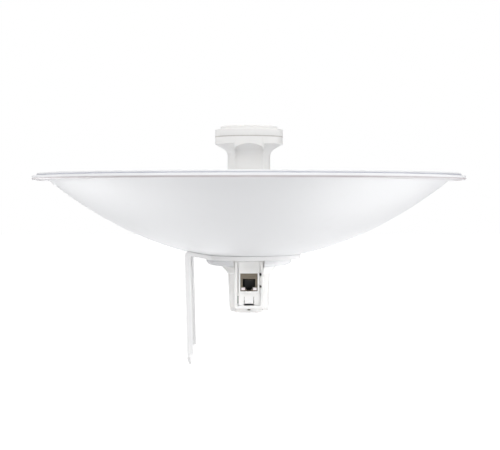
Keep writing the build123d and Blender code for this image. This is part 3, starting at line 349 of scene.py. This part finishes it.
dish_low, dish_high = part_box("dish_reflector")
rim_radius = dish_high.x
hub_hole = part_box("neck_seal")[1].x + hub_clearance
bowl_edge = rim_radius - lip_width
apex = dish_low.z - hub_hole**2 / four_focal
edge_height = apex + bowl_edge**2 / four_focal
lip_under = edge_height + shoulder_rise
lip_top = lip_under + lip_thickness
hem_low = lip_under - hem_drop
bead_outer = rim_radius - bead_setback
bead_inner = bead_outer - bead_width
bead_top = dish_high.z

# Where shade is painted on the feed unit's moulded pieces: along the cap seam and inside the pry slot
seam_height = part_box("feed_tube")[1].z
cup_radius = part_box("feed_cap")[1].x
cap_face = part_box("end_cap")[0].y
pry_drop = 0.0012
pry_depth = 0.0013
pry_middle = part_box("rear_housing")[0].z - pry_drop

# Painted shade and painted dark reflection along the hem's lower edge and under the hem, and a painted shadow
# line at the bead's foot.
hem_edge_painted_shade = (rim_radius - 0.0003, hem_low + 0.0012, 0.0012, (0.30, 0.23, 0.25), 0.60)
hem_under_painted_shade = (rim_radius - 0.0065, hem_low - 0.0002, 0.0052, (0.34, 0.27, 0.30), 0.70)
bead_foot_painted_shadow = (bead_outer + 0.0003, lip_top + 0.0002, 0.0013, (0.40, 0.41, 0.49), 0.85)
# Painted shade along the seam under the cap, and painted shade inside the end cap's pry slot.
cap_seam_painted_shade = (cup_radius, seam_height, 0.0007, (0.42, 0.38, 0.34), 0.75)
pry_slot_painted_shade = ((0.0, cap_face + pry_depth, pry_middle), pry_depth, 0.55, (0.10, 0.075, 0.05), 0.90)

# The dish paint carries the painted shade of its hem and bead.
dish_paint = powder_coat("dish_powder_coat", (0.785, 0.790, 0.804), (0.768, 0.773, 0.788),
                         shaded_creases=(hem_edge_painted_shade, hem_under_painted_shade, bead_foot_painted_shadow))
bracket_paint = powder_coat("bracket_powder_coat", (0.850, 0.848, 0.850), (0.832, 0.830, 0.834), 0.24)
# The housing plastic carries the painted shade of the cap seam and pry slot.
housing_plastic = moulded("housing_plastic", (0.832, 0.825, 0.812), (0.816, 0.809, 0.796),
                          shaded_seams=(cap_seam_painted_shade,), shaded_hollows=(pry_slot_painted_shade,))
frame_plastic = moulded("frame_plastic", (0.930, 0.926, 0.916), (0.915, 0.910, 0.900), 0.12, 0.26, 0.06)
seal_rubber = rubber("seal_rubber")
screw_steel = brushed("screw_steel", (0.62, 0.61, 0.60), (0.48, 0.47, 0.46), (1.0, 1.0, 6.0), 0.24)
insert_brass = brushed("insert_brass", (0.78, 0.57, 0.26), (0.66, 0.46, 0.20), (1.0, 1.0, 5.0), 0.28,
                       tarnish=(0.34, 0.22, 0.10))
can_tin = brushed("can_tin", (0.66, 0.66, 0.64), (0.55, 0.55, 0.54), (1.0, 1.0, 9.0), 0.32)
# The jack shield's colours are darkened to its shaded look deep in the port: painted shade.
jack_steel = brushed("jack_steel", (0.27, 0.235, 0.185), (0.085, 0.075, 0.062), (0.5, 1.0, 9.0), 0.46)
reflector_aluminium = brushed("reflector_aluminium", (0.86, 0.87, 0.88), (0.76, 0.77, 0.78),
                              (1.0, 6.0, 1.0), 0.22)
board_laminate = laminate("board_laminate")
chip_resin = resin("chip_resin")
jack_plastic = dark_plastic("jack_plastic")
contact_gold = gold("contact_gold")
light_guide = light_plastic("light_guide", (0.90, 0.80, 0.82), (0.82, 0.72, 0.75))
smoked_guide = light_plastic("smoked_light_guide", (0.030, 0.026, 0.024), (0.055, 0.047, 0.042))
thermal_pad = soft_pad("thermal_pad")

FINISHES = {
    "dish_paint": dish_paint, "bracket_paint": bracket_paint, "housing_plastic": housing_plastic,
    "frame_plastic": frame_plastic, "seal_rubber": seal_rubber, "screw_steel": screw_steel,
    "insert_brass": insert_brass, "board_laminate": board_laminate, "chip_resin": chip_resin,
    "can_tin": can_tin, "jack_steel": jack_steel, "jack_plastic": jack_plastic, "contact_gold": contact_gold,
    "light_guide": light_guide, "smoked_light_guide": smoked_guide, "thermal_pad": thermal_pad,
    "reflector_aluminium": reflector_aluminium,
}

# Each CAD node's finish
WEARS = {
    "dish_reflector": "dish_paint", "rear_collar": "dish_paint", "front_ring": "dish_paint",
    "mounting_bracket": "bracket_paint",
    "ring_seal": "seal_rubber", "cap_seal": "seal_rubber", "neck_seal": "seal_rubber",
    "collar_screws": "screw_steel", "neck_screws": "screw_steel", "end_cap_screws": "screw_steel",
    "collar_inserts": "insert_brass",
    "feed_tube": "housing_plastic", "feed_cap": "housing_plastic", "rear_housing": "housing_plastic",
    "end_cap": "housing_plastic",
    "port_frame": "frame_plastic", "port_insert": "frame_plastic", "cover_catch": "frame_plastic",
    "reset_button": "jack_plastic",
    "sub_reflector": "reflector_aluminium", "radiator_board": "board_laminate",
    "main_board": "board_laminate",
    "reflector_spacers": "frame_plastic", "feed_pins": "contact_gold", "radio_can": "can_tin",
    "computer_can": "can_tin", "radio_chip": "chip_resin", "processor_chip": "chip_resin",
    "memory_chip": "chip_resin", "heat_pad": "thermal_pad", "lan_transformer": "chip_resin",
    "power_inductor": "chip_resin", "capacitors": "can_tin", "reset_switch": "jack_plastic",
    "status_led": "light_guide", "jack_shield": "jack_steel", "jack_body": "jack_plastic",
    "jack_contacts": "contact_gold", "jack_lights": "light_guide", "light_pipe": "smoked_light_guide",
}

# The nodes whose pieces are drawn here; the rest keep their CAD surfaces
MADE_ANEW = ("dish_reflector", "collar_screws", "neck_screws", "end_cap_screws", "collar_inserts",
             "jack_contacts")

bodies = {node: body for body, nodes in frame["record"]["behaviour"]["bodies"].items() for node in nodes}


# ---------------------------------------------------------------- pieces
CAD_SEAM = 2e-6      # the CAD mesh's loose corners lie closer than this


def piece(name, mesh, node, finish):
    """An object that stands for a CAD node, on that node's body and in its finish."""
    mesh.materials.clear()
    mesh.materials.append(FINISHES[finish])
    obj = bpy.data.objects.new(name, mesh)
    bpy.context.scene.collection.objects.link(obj)
    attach(obj, bodies[node])
    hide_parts(node)
    return obj


def worked(mesh, kind, set_up):
    """A mesh as it comes out of one modifier, which set_up sets."""
    holder = bpy.data.objects.new("holder", mesh)
    bpy.context.scene.collection.objects.link(holder)
    set_up(holder.modifiers.new("worked", kind))
    bpy.context.view_layer.update()
    graph = bpy.context.evaluated_depsgraph_get()
    result = bpy.data.meshes.new_from_object(holder.evaluated_get(graph), depsgraph=graph)
    bpy.data.objects.remove(holder)
    return result


def mended(mesh, *steps):
    """A mesh after steps on its bmesh."""
    made = bmesh.new()
    made.from_mesh(mesh)
    for step in steps:
        step(made)
    made.to_mesh(mesh)
    made.free()
    return mesh


def merge(reach):
    """A step that joins corners closer than reach."""
    return lambda made: bmesh.ops.remove_doubles(made, verts=made.verts, dist=reach)


def drop_slivers(made):
    """A step that removes edges too short to see."""
    bmesh.ops.dissolve_degenerate(made, edges=made.edges, dist=1e-6)


def face_out(made):
    """A step that turns every face outwards."""
    bmesh.ops.recalc_face_normals(made, faces=made.faces)


def evened(mesh, crease):
    """Smooth shading, with edges sharper than crease kept, and normals that follow the larger faces."""
    mesh.shade_smooth()
    mesh.set_sharp_from_angle(angle=radians(crease))

    def weigh(modifier):
        modifier.mode = "FACE_AREA"
        modifier.keep_sharp = True

    return worked(mesh, "WEIGHTED_NORMAL", weigh)


def refined(node, crease=26.0):
    """A CAD node's surface joined up, shaded smooth over its curves and crisp at its edges."""
    mesh = mended(frame["nodes"][node].data.copy(), merge(CAD_SEAM), drop_slivers)
    return piece(node + "_finished", evened(mesh, crease), node, WEARS[node])


for node_name in WEARS:
    if node_name not in MADE_ANEW:
        refined(node_name)


class PartTree(Nodes):
    """A tree that makes parts, with a named input for each of its sizes and for their finish."""

    def __init__(self, name, **sizes):
        super().__init__(bpy.data.node_groups.new(name, "GeometryNodeTree"))
        face = self.tree.interface
        face.new_socket("Geometry", in_out="INPUT", socket_type="NodeSocketGeometry")
        face.new_socket("Geometry", in_out="OUTPUT", socket_type="NodeSocketGeometry")
        for label, kind in sizes.items():
            face.new_socket(label, in_out="INPUT", socket_type="NodeSocket" + kind)
        face.new_socket("Finish", in_out="INPUT", socket_type="NodeSocketMaterial")
        self.given = self.node("NodeGroupInput").outputs

    def finished(self, geometry):
        """The tree, ended with real geometry in its finish."""
        real = self.node("GeometryNodeRealizeInstances", {}, {"Geometry": geometry})
        paint = self.node("GeometryNodeSetMaterial", {}, {
            "Geometry": real.outputs["Geometry"], "Material": self.given["Finish"]})
        self.node("NodeGroupOutput", {}, {"Geometry": paint.outputs["Geometry"]})
        return self.tree


def run_tree(tree, mesh, values):
    """A tree's result on a mesh, as a plain mesh."""

    def give(modifier):
        modifier.node_group = tree
        for item in tree.interface.items_tree:
            if item.item_type == "SOCKET" and item.in_out == "INPUT" and item.name in values:
                modifier[item.identifier] = values[item.name]

    return worked(mesh, "NODES", give)


# ---------------------------------------------------------------- dish
def section_mesh(name, points):
    """A closed outline in the XY plane as a mesh of edges, X outwards and Y upwards."""
    mesh = bpy.data.meshes.new(name)
    count = len(points)
    mesh.from_pydata([(x, y, 0.0) for x, y in points], [(i, (i + 1) % count) for i in range(count)], [])
    return mesh


def lathe_tree():
    """Turns an outline once round the Z axis."""
    lathe = PartTree("turned_section", Spokes="Int", Path_radius="Float")
    outline = lathe.node("GeometryNodeMeshToCurve", {}, {"Mesh": lathe.given["Geometry"]})
    ring = lathe.node("GeometryNodeCurvePrimitiveCircle", {}, {
        "Resolution": lathe.given["Spokes"], "Radius": lathe.given["Path_radius"]})
    sweep = lathe.node("GeometryNodeCurveToMesh", {}, {
        "Curve": ring.outputs["Curve"], "Profile Curve": outline.outputs["Curve"]})
    return lathe.finished(sweep.outputs["Mesh"])


def turned(name, points, finish, spokes=288, path_radius=0.1):
    """A closed outline of (radius, height) points turned round the axis, its faces outwards."""
    outline = section_mesh(name, [(r - path_radius, -z) for r, z in points])
    mesh = run_tree(lathe_tree(), outline, {
        "Spokes": spokes, "Path_radius": path_radius, "Finish": FINISHES[finish]})
    return mended(mesh, merge(1e-7), face_out)


def rounded(points, radius, steps=5):
    """A run of points with each inner corner rounded by an arc, the radius less where a side is short."""
    out = [Vector(points[0])]
    for before, corner, after in zip(points, points[1:], points[2:]):
        a, b, c = Vector(before), Vector(corner), Vector(after)
        to_a, to_c = (a - b), (c - b)
        half = to_a.angle(to_c) / 2
        r = min(radius, 0.45 * min(to_a.length, to_c.length) * sin(half) / cos(half))
        back = r * cos(half) / sin(half)
        start, end = b + to_a.normalized() * back, b + to_c.normalized() * back
        for i in range(steps + 1):
            t = i / steps
            out.append(start.lerp(b, t).lerp(b.lerp(end, t), t))
    out.append(Vector(points[-1]))
    return out


def bowl_run(inner, outer, rise, steps):
    """The dish's parabola from one radius to another, raised."""
    radii = [inner + (outer - inner) * i / steps for i in range(steps + 1)]
    return [Vector((r, apex + r**2 / four_focal + rise)) for r in radii]


bowl_steps = 44
hem_round = 0.0019
edge_round = 0.0011
back_run = bowl_run(hub_hole, bowl_edge, 0.0, bowl_steps)
front_run = bowl_run(bowl_edge, hub_hole, sheet, bowl_steps)
hem_run = rounded([back_run[-1], (bowl_edge + 0.0012, hem_low), (rim_radius, hem_low), (rim_radius, lip_top)],
                  hem_round, 8)
bead_run = rounded([hem_run[-2], (rim_radius, lip_top), (bead_outer, lip_top), (bead_outer, bead_top),
                    (bead_inner, bead_top), front_run[0]], edge_round)
lip_run = hem_run[:-1] + bead_run[1:]
dish_section = back_run[:-1] + lip_run + front_run[1:]
dish_mesh = turned("dish_section", dish_section, "dish_paint")
piece("pressed_dish", evened(dish_mesh, 34.0), "dish_reflector", "dish_paint")


# ---------------------------------------------------------------- screws, inserts and contacts
def ringed(name, rings, count, closed=False):
    """Rings round the Z axis joined up in order.

    A ring is (radius, height), and its radius is a number or is worked out from the angle.
    """
    mesh = bpy.data.meshes.new(name)
    corners, faces = [], []
    for radius, height in rings:
        for i in range(count):
            angle = 2 * pi * i / count
            r = radius(angle) if callable(radius) else radius
            corners.append((r * cos(angle), r * sin(angle), height))
    last = len(rings) if closed else len(rings) - 1
    for k in range(last):
        low_ring, high_ring = k * count, ((k + 1) % len(rings)) * count
        for i in range(count):
            j = (i + 1) % count
            faces.append((low_ring + i, low_ring + j, high_ring + j, high_ring + i))
    if not closed:
        faces.append(tuple(reversed(range(count))))
        faces.append(tuple(range((len(rings) - 1) * count, len(rings) * count)))
    mesh.from_pydata(corners, [], faces)
    return mended(mesh, face_out)


def hexagon(across):
    """Radius of a hexagon at an angle, given its corners' radius."""
    return lambda angle: across * cos(pi / 6) / cos((angle % (pi / 3)) - pi / 6)


def screw_mesh(name, head_radius, head_height, shank_radius, length, socket):
    """A socket screw with its head's top at the origin, pointing down."""
    soft = head_height * 0.18
    pitch = shank_radius * 0.42
    rings = [(hexagon(socket * 0.96), -head_height * 0.58), (hexagon(socket), -soft * 0.4),
             (hexagon(socket * 1.08), 0.0), (head_radius - soft, 0.0),
             (head_radius - soft * 0.3, -soft * 0.3), (head_radius, -soft), (head_radius, -head_height),
             (shank_radius, -head_height)]
    height = -head_height - pitch
    while height > -length + pitch:
        rings += [(shank_radius, height), (shank_radius * 0.88, height - pitch * 0.5)]
        height -= pitch
    rings += [(shank_radius * 0.98, -length + pitch * 0.4), (shank_radius * 0.7, -length)]
    return ringed(name, rings, 36)


def knurl(radius, teeth, depth):
    """Radius of a knurled sleeve at an angle."""
    return lambda angle: radius - depth * (0.5 - 0.5 * cos(angle * teeth))


def setting_out_tree():
    """Puts one part at every point, its Z axis along the point's facing."""
    setting = PartTree("set_out_parts", Part="Object")
    part = setting.node("GeometryNodeObjectInfo", {}, {"Object": setting.given["Part"]})
    facing = setting.node("GeometryNodeInputNamedAttribute", {"data_type": "FLOAT_VECTOR"}, {
        "Name": "facing"})
    turn = setting.node("FunctionNodeAlignRotationToVector", {"axis": "Z"}, {
        "Vector": facing.outputs["Attribute"]})
    put = setting.node("GeometryNodeInstanceOnPoints", {}, {
        "Points": setting.given["Geometry"], "Instance": part.outputs["Geometry"],
        "Rotation": turn.outputs["Rotation"]})
    return setting.finished(put.outputs["Instances"])


def solids_of(node):
    """(lowest corner, highest corner) of each separate solid of a CAD node."""
    made = bmesh.new()
    made.from_mesh(frame["nodes"][node].data)
    bmesh.ops.remove_doubles(made, verts=made.verts, dist=CAD_SEAM)
    left, found = set(made.verts), []
    while left:
        group, edge = set(), [left.pop()]
        while edge:
            corner = edge.pop()
            group.add(corner)
            for side in corner.link_edges:
                other = side.other_vert(corner)
                if other in left:
                    left.discard(other)
                    edge.append(other)
        places = [v.co for v in group]
        found.append((Vector([min(p[i] for p in places) for i in range(3)]),
                      Vector([max(p[i] for p in places) for i in range(3)])))
    made.free()
    return found


set_out = setting_out_tree()


def set_at(name, node, part_mesh, places, facings):
    """One part set at each place of a CAD node, as one finished piece."""
    part_mesh.shade_smooth()
    part_mesh.set_sharp_from_angle(angle=radians(35.0))
    part = bpy.data.objects.new(name + "_part", part_mesh)
    bpy.context.scene.collection.objects.link(part)
    points = bpy.data.meshes.new(name + "_places")
    points.from_pydata([tuple(place) for place in places], [], [])
    facing = points.attributes.new("facing", "FLOAT_VECTOR", "POINT")
    facing.data.foreach_set("vector", [c for f in facings for c in f])
    mesh = run_tree(set_out, points, {"Part": part, "Finish": FINISHES[WEARS[node]]})
    bpy.data.objects.remove(part)
    return piece(name, mesh, node, WEARS[node])


def middle_of(corners):
    """The middle of a (lowest corner, highest corner) pair."""
    return (corners[0] + corners[1]) / 2


def end_of(corners, facing):
    """The middle of the side that faces that way."""
    middle = middle_of(corners)
    return Vector([corners[1][i] if side > 0 else corners[0][i] if side < 0 else middle[i]
                   for i, side in enumerate(facing)])


def up(_):
    return (0, 0, 1)


def down(_):
    return (0, 0, -1)


def sideways_out(corners):
    """Along X, away from the axis."""
    return (1 if middle_of(corners).x > 0 else -1, 0, 0)


def set_screws(name, node, facing, head_height, shank_radius, socket):
    """Socket screws in place of a CAD node's solids, each with its head at the end that it faces."""
    solids = solids_of(node)
    facings = [facing(corners) for corners in solids]
    size = solids[0][1] - solids[0][0]
    along, across = (0, 2) if facings[0][0] else (2, 0)
    screw = screw_mesh(name + "_blank", size[across] / 2, head_height, shank_radius, size[along], socket)
    set_at(name, node, screw, [end_of(corners, side) for corners, side in zip(solids, facings)], facings)


set_screws("clamp_screws", "collar_screws", up, head_height=0.0022, shank_radius=0.00195, socket=0.0018)
set_screws("foot_screws", "end_cap_screws", down, head_height=0.0012, shank_radius=0.0011, socket=0.0011)
set_screws("locking_screws", "neck_screws", sideways_out, head_height=0.0008, shank_radius=0.0012,
           socket=0.0011)

sleeves = solids_of("collar_inserts")
first_low, first_high = sleeves[0]
outer = (first_high.x - first_low.x) / 2
tall = first_high.z - first_low.z
bore = 0.0020
lead_in = 0.0022
chamfered = outer - 0.0003
waist = outer - 0.0005
teeth = knurl(outer, 18, 0.0002)
sleeve = ringed("threaded_sleeve", [
    (bore, -tall), (bore, 0.0), (lead_in, 0.0), (chamfered, 0.0), (teeth, -tall * 0.12),
    (teeth, -tall * 0.42), (waist, -tall * 0.46), (waist, -tall * 0.54), (teeth, -tall * 0.58),
    (teeth, -tall * 0.90), (chamfered, -tall)], 72, closed=True)
set_at("threaded_sleeves", "collar_inserts", sleeve, [end_of(corners, up(corners)) for corners in sleeves],
       [up(corners) for corners in sleeves])


def comb_tree():
    """A row of bent wires along X: a strip swept along the given line, repeated at a pitch."""
    comb = PartTree("contact_comb", Count="Int", Pitch="Float", Width="Float", Thickness="Float")
    given = comb.given
    line = comb.node("GeometryNodeMeshToCurve", {}, {"Mesh": given["Geometry"]})
    bend = comb.node("GeometryNodeFilletCurve", {"mode": "POLY"}, {
        "Curve": line.outputs["Curve"], "Radius": 0.0004, "Count": 4})
    strip = comb.node("GeometryNodeCurvePrimitiveQuadrilateral", {}, {
        "Height": given["Thickness"], "Width": given["Width"]})
    sweep = comb.node("GeometryNodeCurveToMesh", {}, {
        "Curve": bend.outputs["Curve"], "Profile Curve": strip.outputs["Curve"], "Fill Caps": True})
    step = comb.node("ShaderNodeCombineXYZ", {}, {"X": given["Pitch"]})
    first_wire = (Value(comb, given["Count"]) - 1.0) * given["Pitch"] * -0.5
    start = comb.node("ShaderNodeCombineXYZ", {}, {"X": first_wire})
    row = comb.node("GeometryNodeMeshLine", {}, {
        "Count": given["Count"], "Offset": step.outputs["Vector"], "Start Location": start.outputs["Vector"]})
    put = comb.node("GeometryNodeInstanceOnPoints", {}, {
        "Points": row.outputs["Mesh"], "Instance": sweep.outputs["Mesh"]})
    return comb.finished(put.outputs["Instances"])


comb_low, comb_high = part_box("jack_contacts")
wire = [(0.0, comb_low.y + 0.0004, comb_high.z - 0.0002), (0.0, comb_low.y + 0.0012, comb_high.z - 0.0005),
        (0.0, comb_high.y - 0.0008, comb_low.z + 0.0003), (0.0, comb_high.y - 0.0003, comb_low.z + 0.0004)]
wire_line = bpy.data.meshes.new("contact_line")
wire_line.from_pydata(wire, [(i, i + 1) for i in range(len(wire) - 1)], [])
contact_comb = run_tree(comb_tree(), wire_line, {
    "Count": 8, "Pitch": 0.00102, "Width": 0.0003, "Thickness": 0.0002, "Finish": FINISHES["contact_gold"]})
piece("contact_wires", mended(contact_comb, face_out), "jack_contacts", "contact_gold")

# ---------------------------------------------------------------- floor, light and camera
def softbox(name, place, aim, side, radiance):
    """An even square light of that radiance."""
    data = bpy.data.lights.new(name, "AREA")
    data.shape = "RECTANGLE"
    data.size = side
    data.size_y = side
    data.energy = radiance * pi * side * side
    light = bpy.data.objects.new(name, data)
    light.location = place
    light.rotation_euler = (aim - place).to_track_quat("-Z", "Y").to_euler()
    light.visible_camera = False
    bpy.context.scene.collection.objects.link(light)


# Panels of a light tent: azimuth from +X and elevation, in degrees, and radiance. The low ones stand for
# the light that a pale floor would return.
LIGHT_TENT = (
    (-90, -20, 4.45), (-90, 20, 0.15), (-90, 55, 1.10),
    (-125, 20, 2.80), (-125, 55, 1.10),
    (-55, 20, 1.90), (-55, 55, 1.10),
    (180, -20, 1.30), (180, 20, 1.20), (180, 55, 0.50),
    (0, -50, 0.40), (0, -20, 3.40), (0, 20, 2.40), (0, 55, 0.90),
    (145, -50, 2.80), (145, -20, 4.60), (145, 20, 1.40), (145, 55, 0.50),
    (35, -50, 3.60), (35, -20, 2.00), (35, 20, 0.25), (35, 55, 1.20),
    (90, -50, 0.40), (90, -20, 1.50), (90, 20, 1.20), (90, 55, 2.40),
)
TENT_RADIUS = 2.2
TENT_PANEL = 1.3
tent_middle = Vector((0.0, 0.0, -0.06))
for azimuth, elevation, radiance in LIGHT_TENT:
    turn, rise = radians(azimuth), radians(elevation)
    away = Vector((cos(turn) * cos(rise), sin(turn) * cos(rise), sin(rise)))
    softbox(f"panel_{azimuth}_{elevation}".replace("-", "m"), tent_middle + away * TENT_RADIUS, tent_middle,
            TENT_PANEL, radiance)

FLOOR_DROP = 1.2
floor_height = cad_box[0][2] - FLOOR_DROP
floor_mesh = bpy.data.meshes.new("studio_floor")
reach = 9.0
floor_corners = [(-reach, -reach, floor_height), (reach, -reach, floor_height),
                 (reach, reach * 4, floor_height), (-reach, reach * 4, floor_height)]
floor_mesh.from_pydata(floor_corners, [], [(0, 1, 2, 3)])
floor = bpy.data.objects.new("studio_floor", floor_mesh)
bpy.context.scene.collection.objects.link(floor)
pale = Finish("floor_paper")
paper = pale.grain(3.0, 3.0, 0.5)
floor_mesh.materials.append(pale.done(
    base=pale.colour(paper, (0.84, 0.84, 0.84), (0.86, 0.86, 0.86)), rough=0.9,
    glow=(1.0, 1.0, 1.0, 1.0), glow_strength=1.1, specular=0.1))
floor.visible_diffuse = False
floor.visible_glossy = False
floor.visible_transmission = False
floor.visible_shadow = False

world = bpy.data.worlds.new("studio")
bpy.context.scene.world = world
world.use_nodes = True
world.node_tree.nodes.clear()
sky = Nodes(world.node_tree)
path = sky.node("ShaderNodeLightPath")
lit = sky.node("ShaderNodeBackground", {}, {"Color": (0.96, 0.98, 1.0, 1.0), "Strength": 0.03})
seen = sky.node("ShaderNodeBackground", {}, {"Color": (1.0, 1.0, 1.0, 1.0), "Strength": 1.0})
both = sky.node("ShaderNodeMixShader", {}, {
    0: path.outputs["Is Camera Ray"], 1: lit.outputs[0], 2: seen.outputs[0]})
sky.node("ShaderNodeOutputWorld", {}, {"Surface": both.outputs[0]})

EYE = Vector((0.001, -1.1, -0.016))
EYE_TILT = 1.59      # degrees below level
camera_data = bpy.data.cameras.new("camera")
camera_data.lens = 80.4
camera_data.sensor_width = 36.0
camera_data.clip_start = 0.05
camera_data.clip_end = 100.0
camera = bpy.data.objects.new("camera", camera_data)
camera.location = EYE
camera.rotation_euler = Euler((radians(90.0 - EYE_TILT), 0.0, 0.0), "XYZ")
bpy.context.scene.collection.objects.link(camera)
bpy.context.scene.camera = camera
bpy.context.scene.view_settings.view_transform = "Standard"
bpy.context.scene.view_settings.look = "None"
